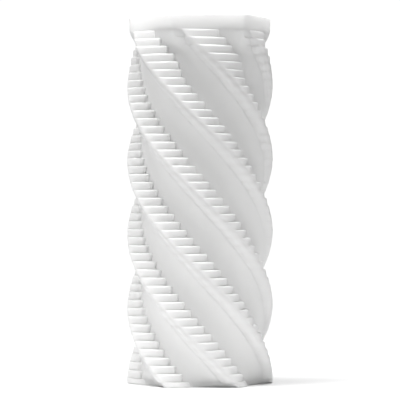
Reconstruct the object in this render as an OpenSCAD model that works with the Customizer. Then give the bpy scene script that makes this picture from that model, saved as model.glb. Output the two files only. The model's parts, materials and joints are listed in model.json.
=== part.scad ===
// Spiral fluted sleeve: a soft moulded tube with six left-handed ridges.
// Each ridge has a smooth concave flute on one side and a band of stepped ledges on the other.
// Origin at the middle of the foot, +Z up the bore.

/* [Sleeve] */
// Height from the foot to the top rim
height = 146; // [130:1:160]
// Diameter over the crests of the ridges
crest_d = 58; // [54:1:64]
// Diameter of the round bore, open at both ends
bore_d = 36; // [20:1:38]

/* [Spiral] */
// Number of ridges round the sleeve
ridges = 6; // [6:6]
// Turn of the ridges from foot to rim, in degrees, clockwise going up
twist_total = 300; // [240:5:330]
// Angle of a crest at the foot, anticlockwise from +X
crest_phase = 3; // [0:1:59]

/* [Flute] */
// Radius of the flute's floor as a share of the crest radius
floor_share = 0.765; // [0.76:0.005:0.82]
// Angle from a crest to the floor of the flute that follows it
floor_angle = 26; // [24:1:30]

/* [Ledges] */
// Wanted height of one ledge
ledge_h = 3.1; // [2.5:0.1:4]
// Angle that one ledge spans beyond its crest
ledge_angle = 19; // [16:1:20]
// Radius at a ledge's outer end as a share of the crest radius
ledge_end_share = 0.835; // [0.82:0.005:0.86]

/* [Ends] */
// Height of the plain six-sided band at the top
collar_h = 6.5; // [4:0.5:10]
// Height of the edge at the foot, where the ridges and flutes have no ledges
foot_h = 2; // [1.5:0.5:4]
// How far a side of the six-sided band at the top bows out beyond a straight line
side_bow = 1.2; // [0.5:0.1:2]

/* [Hidden] */

crest_r = crest_d / 2;
bore_r = bore_d / 2;
tooth_angle = 360 / ridges;
twist_per_mm = twist_total / height;

// The bands sit on a round seat, a little deeper than the flutes.
seat_r = 0.74 * crest_r;

// The ridges run between the foot and the collar, as a whole number of ledges.
ridge_h = height - foot_h - collar_h;
ledge_count = round(ridge_h / ledge_h);
ledge_step = ridge_h / ledge_count;
ledge_turn = ledge_step * twist_per_mm;

// The helical rebate under a band is narrower than the band by one ledge's turn.
rebate_start = -2;
rebate_end = ledge_angle - ledge_turn / 2;
flute_end = tooth_angle - 2.5;
flute_start = ledge_angle + 1;
rebate_points = 2;
flute_points = 7;
side_points = 8;
twist_slices = ledge_count;
over = 1;

function polar(r, a) = [r * cos(a), r * sin(a)];

// Radius of the flute at angle a after a crest: a parabola from the floor up to the next crest.
function flute_r(a) =
  crest_r * (floor_share + (1 - floor_share) * pow((a - floor_angle) / (tooth_angle - floor_angle), 2));

// The flute after the crest at angle start, from angle a0 to flute_end.
function flute_outline(start, a0) = [
  for (i = [0 : flute_points])
    let (a = a0 + (flute_end - a0) * i / flute_points)
    polar(flute_r(a), start + a)
];

// One ridge's share of the tube's outline: the rebate for the ledges, then the flute.
function rebated_tooth(start) = concat(
  [for (i = [0 : rebate_points])
    polar(seat_r, start + rebate_start + (rebate_end - rebate_start) * i / rebate_points)],
  flute_outline(start, rebate_end)
);

// The same share with no rebate: the crest, a ledge's outer face, then the flute.
function plain_tooth(start) = concat(
  [polar(crest_r, start), polar(ledge_end_share * crest_r, start + ledge_angle)],
  flute_outline(start, flute_start)
);

tube_outline = [for (k = [0 : ridges - 1]) each rebated_tooth(k * tooth_angle)];
foot_outline = [for (k = [0 : ridges - 1]) each plain_tooth(k * tooth_angle)];

// One ledge seen from above, with its crest at angle a. It reaches a little past the crest,
// into the flute behind it, so that the steps show along the crest too.
function ledge_outline(a) = [
  polar(seat_r, a - 5.5),
  polar(0.94 * crest_r, a - 5),
  polar(crest_r, a),
  polar(ledge_end_share * crest_r, a + ledge_angle),
  polar(seat_r, a + ledge_angle + 1),
  polar(seat_r, a + ledge_angle * 2 / 3),
  polar(seat_r, a + ledge_angle / 3),
  polar(seat_r, a)
];

// The collar's six-sided outline, with its corners on the crests and its sides bowed out a little.
function bowed_r(t) =
  crest_r * cos(tooth_angle / 2) / cos((t - 0.5) * tooth_angle) + side_bow * 4 * t * (1 - t);
collar_outline = [
  for (k = [0 : ridges - 1], i = [0 : side_points - 1])
    polar(bowed_r(i / side_points), (k + i / side_points) * tooth_angle)
];

// Angle of the first ridge's crest at height z.
function crest_at(z) = crest_phase - z * twist_per_mm;

// Lifts its children to height z and turns them to where the crests are there.
module at_height(z) {
  translate([0, 0, z])
    rotate([0, 0, crest_at(z)])
      children();
}

module bore() {
  translate([0, 0, -over])
    cylinder(r = bore_r, h = height + 2 * over);
}

module fluted_tube() {
  color([0.93, 0.93, 0.92])
    difference() {
      at_height(foot_h)
        linear_extrude(height = ridge_h, twist = ridge_h * twist_per_mm, slices = twist_slices)
          polygon(tube_outline);
      bore();
    }
}

module ledge_band(k) {
  color([0.97, 0.97, 0.96])
    for (i = [0 : ledge_count - 1])
      translate([0, 0, foot_h + i * ledge_step])
        linear_extrude(height = ledge_step)
          polygon(ledge_outline(crest_at(foot_h + (i + 0.5) * ledge_step) + (k - 1) * tooth_angle));
}

module top_collar() {
  color([0.95, 0.95, 0.94])
    difference() {
      at_height(height - collar_h)
        linear_extrude(height = collar_h)
          polygon(collar_outline);
      bore();
    }
}

module base_ring() {
  color([0.90, 0.90, 0.89])
    difference() {
      at_height(0)
        linear_extrude(height = foot_h)
          polygon(foot_outline);
      bore();
    }
}

fluted_tube();
for (k = [1 : ridges])
  ledge_band(k);
top_collar();
base_ring();
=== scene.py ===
import json
import math

import bpy
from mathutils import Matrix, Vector


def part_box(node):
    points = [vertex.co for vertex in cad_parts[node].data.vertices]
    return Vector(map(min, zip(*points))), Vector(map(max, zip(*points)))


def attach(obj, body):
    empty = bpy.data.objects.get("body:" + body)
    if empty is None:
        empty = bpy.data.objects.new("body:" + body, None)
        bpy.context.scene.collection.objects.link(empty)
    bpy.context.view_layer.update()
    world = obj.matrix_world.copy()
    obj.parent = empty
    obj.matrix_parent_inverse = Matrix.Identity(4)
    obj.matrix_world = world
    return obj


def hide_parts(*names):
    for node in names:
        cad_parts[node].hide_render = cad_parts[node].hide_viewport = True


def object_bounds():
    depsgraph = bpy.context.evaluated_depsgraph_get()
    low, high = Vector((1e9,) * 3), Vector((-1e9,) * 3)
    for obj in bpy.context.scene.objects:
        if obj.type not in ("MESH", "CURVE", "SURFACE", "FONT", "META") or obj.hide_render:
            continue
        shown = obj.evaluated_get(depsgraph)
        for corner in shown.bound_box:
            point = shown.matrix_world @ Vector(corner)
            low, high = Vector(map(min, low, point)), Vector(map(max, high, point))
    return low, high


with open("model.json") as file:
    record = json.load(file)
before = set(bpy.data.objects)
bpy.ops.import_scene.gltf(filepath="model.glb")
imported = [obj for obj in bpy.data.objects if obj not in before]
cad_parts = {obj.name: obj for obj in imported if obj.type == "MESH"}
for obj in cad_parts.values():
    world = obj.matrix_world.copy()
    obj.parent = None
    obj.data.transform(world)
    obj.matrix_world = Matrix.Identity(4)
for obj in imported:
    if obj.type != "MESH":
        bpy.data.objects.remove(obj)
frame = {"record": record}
cad_low, cad_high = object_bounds()

# ---------------------------------------------------------------- driving dimensions
# Lengths are in metres, angles in degrees, and shares are of the crest radius.
MM = 0.001
CREST_R = (cad_high.x - cad_low.x) / 2
HEIGHT = cad_high.z
FOOT_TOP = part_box("base_ring")[1].z
COLLAR_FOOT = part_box("top_collar")[0].z
MOUNTS = frame["record"]["mounts"]
BORE_R = next(m["dims"]["r_mm"] for m in MOUNTS if m["kind"] == "bore") * MM

RIDGES = 6
TOOTH = 360 / RIDGES
TWIST = 300
CREST_PHASE = 3
LEDGES = 44

# Tooth: a rounded stepped nose from its crest down to an edge, a short drop, then a smooth flute.
EDGE_ANGLE = 17.0
EDGE_SHARE = 0.85
NOSE_POWER = 1.5
FLOOR_SHARE = 0.785
FLOOR_ANGLE = 28.0
FLUTE_POWER = 2.0

# Behind the crest a ledge's back curves down, with a fillet, and dips under the flute where it ends.
BACK_ANGLE = 12.0
BACK_DROP = 0.20
BACK_FILLET = 0.45 * MM
FILLET_FULL = 6
MIN_FILLET = 0.001 * MM
BACK_DIP = 0.07 * MM
DIP_START = 8
DIP_SPAN = 3

# The body is sunk under the ledges, and comes up to the flute before their outer end and behind the crest.
LEDGE_SINK = 1.5 * MM
SINK_LEAD = 5
EDGE_SPAN = 3
CREST_SPAN = 5

# The steps fade in from just behind the crest, and each ledge's top edge is rounded.
STEP_START = -1
STEP_SPAN = 9
LEDGE_ROUND = 0.7 * MM

# Near the top the ledges widen and the flutes narrow.
WIDEN_FOOT = HEIGHT - 29 * MM
WIDEN_TOP = HEIGHT - 17 * MM
WIDER_EDGE = 10.0
WIDER_SHARE = 0.035
WIDER_FLOOR = 7.0

# Ends: the flutes run out into a six-sided collar, and the edges are softened.
COLLAR_SHARE = 0.985
COLLAR_PHASE = 7.5
SIDE_BOW = 1.2 * MM
FADE_TOP = HEIGHT - 4 * MM
FADE_FOOT = HEIGHT - 16 * MM
FADE_TUCK = 0.8 * MM
TUCK_START = 2
TUCK_SPAN = 4
CORNER_SOFT = 0.3 * MM
RIM_ROUND = 0.7 * MM
FOOT_ROUND = 0.35 * MM
BORE_ROUND = 0.6 * MM

# Mesh
TOOTH_POINTS = 48
ROW = 0.6 * MM
BORE_ROW = 3 * MM
ROUND_STEPS = 5
BEVEL_STEPS = 4
FACE_STEPS = 24
SEAT_STEPS = 5
SHARP_ANGLE = 40


def crest_at(z):
    """Angle of the first ridge's crest at height z, in degrees."""
    return CREST_PHASE - TWIST * z / HEIGHT


def smooth(t):
    """An eased step: 0 up to t = 0, 1 from t = 1."""
    t = min(max(t, 0), 1)
    return t * t * (3 - 2 * t)


def softening(gap, width):
    """Extra height that rounds the meeting of two surfaces, which are gap apart, over a width."""
    return width * math.log(1 + math.exp(-gap / width))


def widening(z):
    """How far the ledges have widened at height z."""
    return smooth((z - WIDEN_FOOT) / (WIDEN_TOP - WIDEN_FOOT))


def edge_angle(z):
    """Angle from a crest to the outer end of the ledges at height z."""
    return EDGE_ANGLE + WIDER_EDGE * widening(z)


def flute_r(a, z):
    """Radius of the smooth flute at angle a after a crest, which rises from its floor to the next crest."""
    floor = FLOOR_ANGLE + WIDER_FLOOR * widening(z)
    share = FLOOR_SHARE + WIDER_SHARE * widening(z)
    rise = abs(a - floor) / (TOOTH - floor)
    return CREST_R * (share + (1 - share) * rise ** FLUTE_POWER)


def nose_r(a, z):
    """Radius of the ledges' outer face at angle a after a crest, which may be a little under 0."""
    if a < 0:
        arc = CREST_R * (1 - BACK_DROP * (a / BACK_ANGLE) ** 2)
        flute = flute_r(a + TOOTH, z)
        fillet = BACK_FILLET * smooth(-a / FILLET_FULL) + MIN_FILLET
        joined = max(arc, flute) + softening(abs(arc - flute), fillet)
        return min(joined, CREST_R) - BACK_DIP * smooth((-a - DIP_START) / DIP_SPAN)
    share = EDGE_SHARE + WIDER_SHARE * widening(z)
    return CREST_R * (1 - (1 - share) * (a / edge_angle(z)) ** NOSE_POWER)


def tooth_r(a, z, covered):
    """Radius of the body at angle a after a crest, which is sunk where ledges cover it."""
    sink = LEDGE_SINK if covered else 0
    lead = SINK_LEAD if covered else 0
    flute = flute_r(a, z)
    if a > TOOTH - BACK_ANGLE:
        blend = smooth((a - TOOTH + CREST_SPAN) / CREST_SPAN)
        return (1 - blend) * flute + blend * (nose_r(a - TOOTH, z) - sink)
    last = edge_angle(z)
    edge = smooth((a - last + lead) / EDGE_SPAN)
    return (1 - edge) * (nose_r(min(a, last), z) - sink) + edge * flute


def side_r(t):
    """Radius of one side of the collar: t is 0 and 1 at its corners, and may go a little past them."""
    middle_r = CREST_R * COLLAR_SHARE * math.cos(math.radians(TOOTH / 2))
    flat = middle_r / math.cos(math.radians((t - 0.5) * TOOTH))
    return flat + SIDE_BOW * 4 * t * (1 - t)


def collar_r(angle):
    """Radius of the six-sided collar at an angle from +X, its corners softened."""
    t = ((angle - COLLAR_PHASE) % TOOTH) / TOOTH
    gap = side_r(-min(t, 1 - t)) - side_r(t)
    return side_r(t) - softening(max(gap, 0), CORNER_SOFT)


def fading(z):
    """How far the ridges have run out into the collar at height z."""
    return smooth((z - FADE_FOOT) / (FADE_TOP - FADE_FOOT))


def round_in(distance, radius):
    """How far a rounded edge draws in, at a distance from the end of the piece."""
    if distance >= radius:
        return 0
    gap = radius - distance
    return radius - math.sqrt(max(radius * radius - gap * gap, 0))


def polar(r, angle, z):
    """The point at radius r, at an angle from +X and a height z."""
    a = math.radians(angle)
    return (r * math.cos(a), r * math.sin(a), z)


# ---------------------------------------------------------------- mesh helpers
def loft(name, *stacks, closed_rings=False):
    """A mesh from stacks of rings, quads between the rings, with each stack's ends capped or joined."""
    points, faces = [], []
    for rings in stacks:
        base, count = len(points), len(rings[0])
        points += [p for ring in rings for p in ring]
        for j in range(len(rings) if closed_rings else len(rings) - 1):
            low, high = base + j * count, base + (j + 1) % len(rings) * count
            for i in range(count):
                n = (i + 1) % count
                faces.append((low + i, low + n, high + n, high + i))
        if not closed_rings:
            faces.append(tuple(reversed(range(base, base + count))))
            faces.append(tuple(range(len(points) - count, len(points))))
    mesh = bpy.data.meshes.new(name)
    mesh.from_pydata(points, [], faces)
    mesh.validate()
    mesh.shade_smooth()
    mesh.set_sharp_from_angle(angle=math.radians(SHARP_ANGLE))
    piece = bpy.data.objects.new(name, mesh)
    bpy.context.scene.collection.objects.link(piece)
    return piece


# ---------------------------------------------------------------- materials
def elastomer(name, tint):
    """Soft white moulded elastomer: satin, with a fine mould grain and a faint mottle."""
    mat = bpy.data.materials.new(name)
    mat.use_nodes = True
    nodes, links = mat.node_tree.nodes, mat.node_tree.links
    shader = nodes["Principled BSDF"]
    shader.inputs["IOR"].default_value = 1.41
    shader.inputs["Specular IOR Level"].default_value = 0.4
    shader.inputs["Sheen Weight"].default_value = 0.08
    shader.inputs["Sheen Roughness"].default_value = 0.5
    shader.inputs["Subsurface Weight"].default_value = 0.4
    shader.inputs["Subsurface Radius"].default_value = (1, 1, 1)
    shader.inputs["Subsurface Scale"].default_value = 0.003
    coords = nodes.new("ShaderNodeTexCoord")

    def noise(scale, detail, rough=0.5):
        """A noise texture fixed to the object, with that many cells to a metre."""
        node = nodes.new("ShaderNodeTexNoise")
        node.inputs["Scale"].default_value = scale
        node.inputs["Detail"].default_value = detail
        node.inputs["Roughness"].default_value = rough
        links.new(coords.outputs["Object"], node.inputs["Vector"])
        return node

    mottle = noise(45, 4)
    ramp = nodes.new("ShaderNodeValToRGB")
    ramp.color_ramp.elements[0].position = 0.3
    ramp.color_ramp.elements[0].color = [c * 0.975 for c in tint] + [1]
    ramp.color_ramp.elements[1].position = 0.72
    ramp.color_ramp.elements[1].color = list(tint) + [1]
    links.new(mottle.outputs["Fac"], ramp.inputs["Fac"])
    links.new(ramp.outputs["Color"], shader.inputs["Base Color"])

    gloss = nodes.new("ShaderNodeMapRange")
    gloss.inputs["To Min"].default_value = 0.42
    gloss.inputs["To Max"].default_value = 0.56
    links.new(noise(220, 3).outputs["Fac"], gloss.inputs["Value"])
    links.new(gloss.outputs["Result"], shader.inputs["Roughness"])

    waves = nodes.new("ShaderNodeBump")
    waves.inputs["Strength"].default_value = 0.08
    waves.inputs["Distance"].default_value = 0.0006
    links.new(noise(160, 2).outputs["Fac"], waves.inputs["Height"])
    grain = nodes.new("ShaderNodeBump")
    grain.inputs["Strength"].default_value = 0.12
    grain.inputs["Distance"].default_value = 0.00008
    links.new(noise(2600, 3, 0.6).outputs["Fac"], grain.inputs["Height"])
    links.new(waves.outputs["Normal"], grain.inputs["Normal"])
    links.new(grain.outputs["Normal"], shader.inputs["Normal"])
    return mat


def finish_piece(piece, material, slot, *nodes):
    """Gives the piece its material, puts it under the root body and hides the CAD nodes it stands for."""
    piece.data.materials.append(material)
    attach(piece, "root")
    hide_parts(*nodes)


# ---------------------------------------------------------------- the body: three pieces, face to face
TOOTH_ANGLES = [i * TOOTH / TOOTH_POINTS for i in range(TOOTH_POINTS)]


def outer_ring(z, inset, covered):
    """The body's outline at height z, drawn in by inset, run out into the collar near the top."""
    fade = fading(z)
    ring = []
    for k in range(RIDGES):
        for a in TOOTH_ANGLES:
            angle = crest_at(z) + k * TOOTH + a
            r = tooth_r(a, z, covered)
            if fade > 0:
                r = (1 - fade) * r + fade * collar_r(angle)
            ring.append(polar(r - inset, angle, z))
    return ring


def bore_ring(z, r):
    """The bore's round outline, with a point for each point of the body's outline."""
    return [
        polar(r, crest_at(z) + k * TOOTH + a, z)
        for k in range(RIDGES)
        for a in TOOTH_ANGLES
    ]


def rows_between(z0, z1, low_round, high_round, row):
    """Heights from z0 to z1: close together in the rounded edges, then about row apart."""
    eased = [1 - math.cos(math.pi / 2 * i / ROUND_STEPS) for i in range(ROUND_STEPS)]
    low = [z0 + low_round * e for e in eased] if low_round else []
    high = [z1 - high_round * e for e in reversed(eased)] if high_round else []
    start, end = z0 + low_round, z1 - high_round
    count = max(2, round((end - start) / row))
    return low + [start + (end - start) * i / count for i in range(count + 1)] + high


def body_piece(name, z0, z1, covered, foot_round=0.0, rim_round=0.0):
    """A closed ring of the body from z0 to z1, with its outer and bore edges rounded at an open end."""
    rings = []
    for z in rows_between(z0, z1, foot_round, rim_round, ROW):
        inset = round_in(z - z0, foot_round) + round_in(z1 - z, rim_round)
        rings.append(outer_ring(z, inset, covered))
    low_bore = BORE_ROUND if foot_round else 0.0
    high_bore = BORE_ROUND if rim_round else 0.0
    for z in reversed(rows_between(z0, z1, low_bore, high_bore, BORE_ROW)):
        spread = round_in(z - z0, low_bore) + round_in(z1 - z, high_bore)
        rings.append(bore_ring(z, BORE_R + spread))
    return loft(name, rings, closed_rings=True)


white = elastomer("soft_white_elastomer", (0.90, 0.90, 0.895))
# The ledges take the same elastomer painted a little lighter: painted light that brightens the ridge bands.
ledge_white_painted_light = elastomer("soft_white_elastomer_ledges_painted_light", (0.915, 0.915, 0.91))

foot = body_piece("foot_edge", 0, FOOT_TOP, False, foot_round=FOOT_ROUND)
finish_piece(foot, white, "soft_body", "base_ring")
body = body_piece("fluted_body", FOOT_TOP, COLLAR_FOOT, True)
finish_piece(body, white, "soft_body", "fluted_tube")
rim = body_piece("rim_band", COLLAR_FOOT, HEIGHT, True, rim_round=RIM_ROUND)
finish_piece(rim, white, "soft_body", "top_collar")


# ---------------------------------------------------------------- the ledge bands
LEDGE_STEP = (COLLAR_FOOT - FOOT_TOP) / LEDGES
SEAT_R = FLOOR_SHARE * CREST_R - 0.8 * MM
# The rounded end of a ledge: each point's angle past the end of the nose, and its depth below it.
END_POINTS = [(-0.4, -0.1 * MM), (0, 0.2 * MM), (0.2, 0.6 * MM)]


def ledge_outline(z):
    """Points (angle, radius) round the ledge at height z: its back, its nose, its end, then its seat."""
    last = edge_angle(z)
    fade = fading(z)

    def face_r(a):
        tuck = FADE_TUCK * fade * smooth((-a - TUCK_START) / TUCK_SPAN)
        return (1 - fade) * nose_r(a, z) + fade * collar_r(crest_at(z) + a) - tuck

    end_r = face_r(last)
    face = [-BACK_ANGLE + (BACK_ANGLE + last - 1) * i / FACE_STEPS for i in range(FACE_STEPS + 1)]
    points = [(a, face_r(a)) for a in face]
    points += [(last + a, end_r - drop) for a, drop in END_POINTS]
    points += [(last + END_POINTS[-1][0], SEAT_R + 0.4 * MM)]
    points += [(last - (last + 1) * i / SEAT_STEPS, SEAT_R) for i in range(SEAT_STEPS + 1)]
    return points


def step_share(a):
    """How much of the step from ledge to ledge shows at angle a: none at the back, all on the face."""
    return smooth((a - STEP_START) / STEP_SPAN)


def ledge_ring(outline, turn, z, middle, inset):
    """A ledge's outline at height z, drawn in by inset.

    turn is the angle from the first ridge, and middle is the height at the middle of the ledge.
    """
    flat = [polar(r, a, z)[:2] for a, r in outline]
    ring = []
    for i, (x, y) in enumerate(flat):
        (x0, y0), (x1, y1) = flat[i - 1], flat[(i + 1) % len(flat)]
        dx, dy = x1 - x0, y1 - y0
        share = step_share(outline[i][0])
        inward = inset * share / math.hypot(dx, dy)
        px, py = x - dy * inward, y + dx * inward
        start = math.radians(turn + share * crest_at(middle) + (1 - share) * crest_at(z))
        c, s = math.cos(start), math.sin(start)
        ring.append((px * c - py * s, px * s + py * c, z))
    return ring


def ledge_band(k):
    """A stack of separate slabs, each turned to its own crest, with a rounded top edge."""
    slabs = []
    for i in range(LEDGES):
        z0 = FOOT_TOP + i * LEDGE_STEP
        z1 = z0 + LEDGE_STEP
        middle = (z0 + z1) / 2
        outline = ledge_outline(middle)
        rings = [ledge_ring(outline, k * TOOTH, z0, middle, 0)]
        for s in range(BEVEL_STEPS + 1):
            a = math.pi / 2 * s / BEVEL_STEPS
            z = z1 - LEDGE_ROUND * (1 - math.sin(a))
            rings.append(ledge_ring(outline, k * TOOTH, z, middle, LEDGE_ROUND * (1 - math.cos(a))))
        slabs.append(rings)
    return loft(f"ledges_{k + 1}", *slabs)


# Each band gets the lighter copy of the elastomer, which is painted light.
for k in range(RIDGES):
    finish_piece(ledge_band(k), ledge_white_painted_light, "ledges", f"ledge_band_{k + 1}")


# ---------------------------------------------------------------- stage: floor, light and camera
FLOOR_RADIUS = 0.34
FLOOR_POINTS = 64
FLOOR_TONE = 0.85
CAMERA_DISTANCE = 0.977
FRAME_WIDTH = 0.1596
SENSOR_WIDTH = 36


def floor_material():
    """A plain matt pale floor."""
    mat = bpy.data.materials.new("pale_floor")
    mat.use_nodes = True
    shader = mat.node_tree.nodes["Principled BSDF"]
    shader.inputs["Base Color"].default_value = (FLOOR_TONE, FLOOR_TONE, FLOOR_TONE, 1)
    shader.inputs["Roughness"].default_value = 0.8
    return mat


def make_floor():
    """A round floor under the object."""
    ring = [polar(FLOOR_RADIUS, 360 * i / FLOOR_POINTS, 0) for i in range(FLOOR_POINTS)]
    mesh = bpy.data.meshes.new("floor")
    mesh.from_pydata(ring, [], [tuple(range(FLOOR_POINTS))])
    floor = bpy.data.objects.new("floor", mesh)
    bpy.context.scene.collection.objects.link(floor)
    floor.data.materials.append(floor_material())


def soft_light(name, azimuth, elevation, power, size=0.6, distance=1.2, aim=HEIGHT / 2):
    """A round area light aimed at height aim; azimuth 0 is the camera's side, positive to its right."""
    target = Vector((0, 0, aim))
    flat = distance * math.cos(math.radians(elevation))
    light = bpy.data.lights.new(name, "AREA")
    light.shape = "DISK"
    light.size = size
    light.energy = power
    lamp = bpy.data.objects.new(name, light)
    bpy.context.scene.collection.objects.link(lamp)
    lamp.location = target + Vector((
        flat * math.sin(math.radians(azimuth)),
        -flat * math.cos(math.radians(azimuth)),
        distance * math.sin(math.radians(elevation)),
    ))
    lamp.rotation_euler = (target - lamp.location).to_track_quat("-Z", "Y").to_euler()
    return light


def make_world(seen, cast):
    """White where the camera sees it, and dimmer where it lights the object."""
    world = bpy.data.worlds.new("studio")
    bpy.context.scene.world = world
    world.use_nodes = True
    nodes, links = world.node_tree.nodes, world.node_tree.links
    back = nodes["Background"]
    back.inputs["Color"].default_value = (1, 1, 1, 1)
    path = nodes.new("ShaderNodeLightPath")
    level = nodes.new("ShaderNodeMapRange")
    level.inputs["To Min"].default_value = cast
    level.inputs["To Max"].default_value = seen
    links.new(path.outputs["Is Camera Ray"], level.inputs["Value"])
    links.new(level.outputs["Result"], back.inputs["Strength"])


make_floor()
make_world(seen=1.05, cast=0.06)
soft_light("key", -70, 65, 9.4)
soft_light("fill", 27, 65, 6.3)
soft_light("top", 0, 90, 12.2)
soft_light("side", -100, 35, 1.3)

# A narrow strip, aimed just over the object, that brightens its top rim.
strip = soft_light("rim_strip", 8, 22, 0.17, size=0.3, distance=0.5, aim=HEIGHT + 36 * MM)
strip.shape = "RECTANGLE"
strip.size_y = 0.01
strip.spread = math.radians(12)

lens = bpy.data.cameras.new("camera")
lens.sensor_width = SENSOR_WIDTH
lens.lens = lens.sensor_width * CAMERA_DISTANCE / FRAME_WIDTH
camera = bpy.data.objects.new("camera", lens)
bpy.context.scene.collection.objects.link(camera)
camera.location = (0, -CAMERA_DISTANCE, HEIGHT / 2)
camera.rotation_euler = (math.pi / 2, 0, 0)
bpy.context.scene.camera = camera
bpy.context.scene.view_settings.view_transform = "Standard"
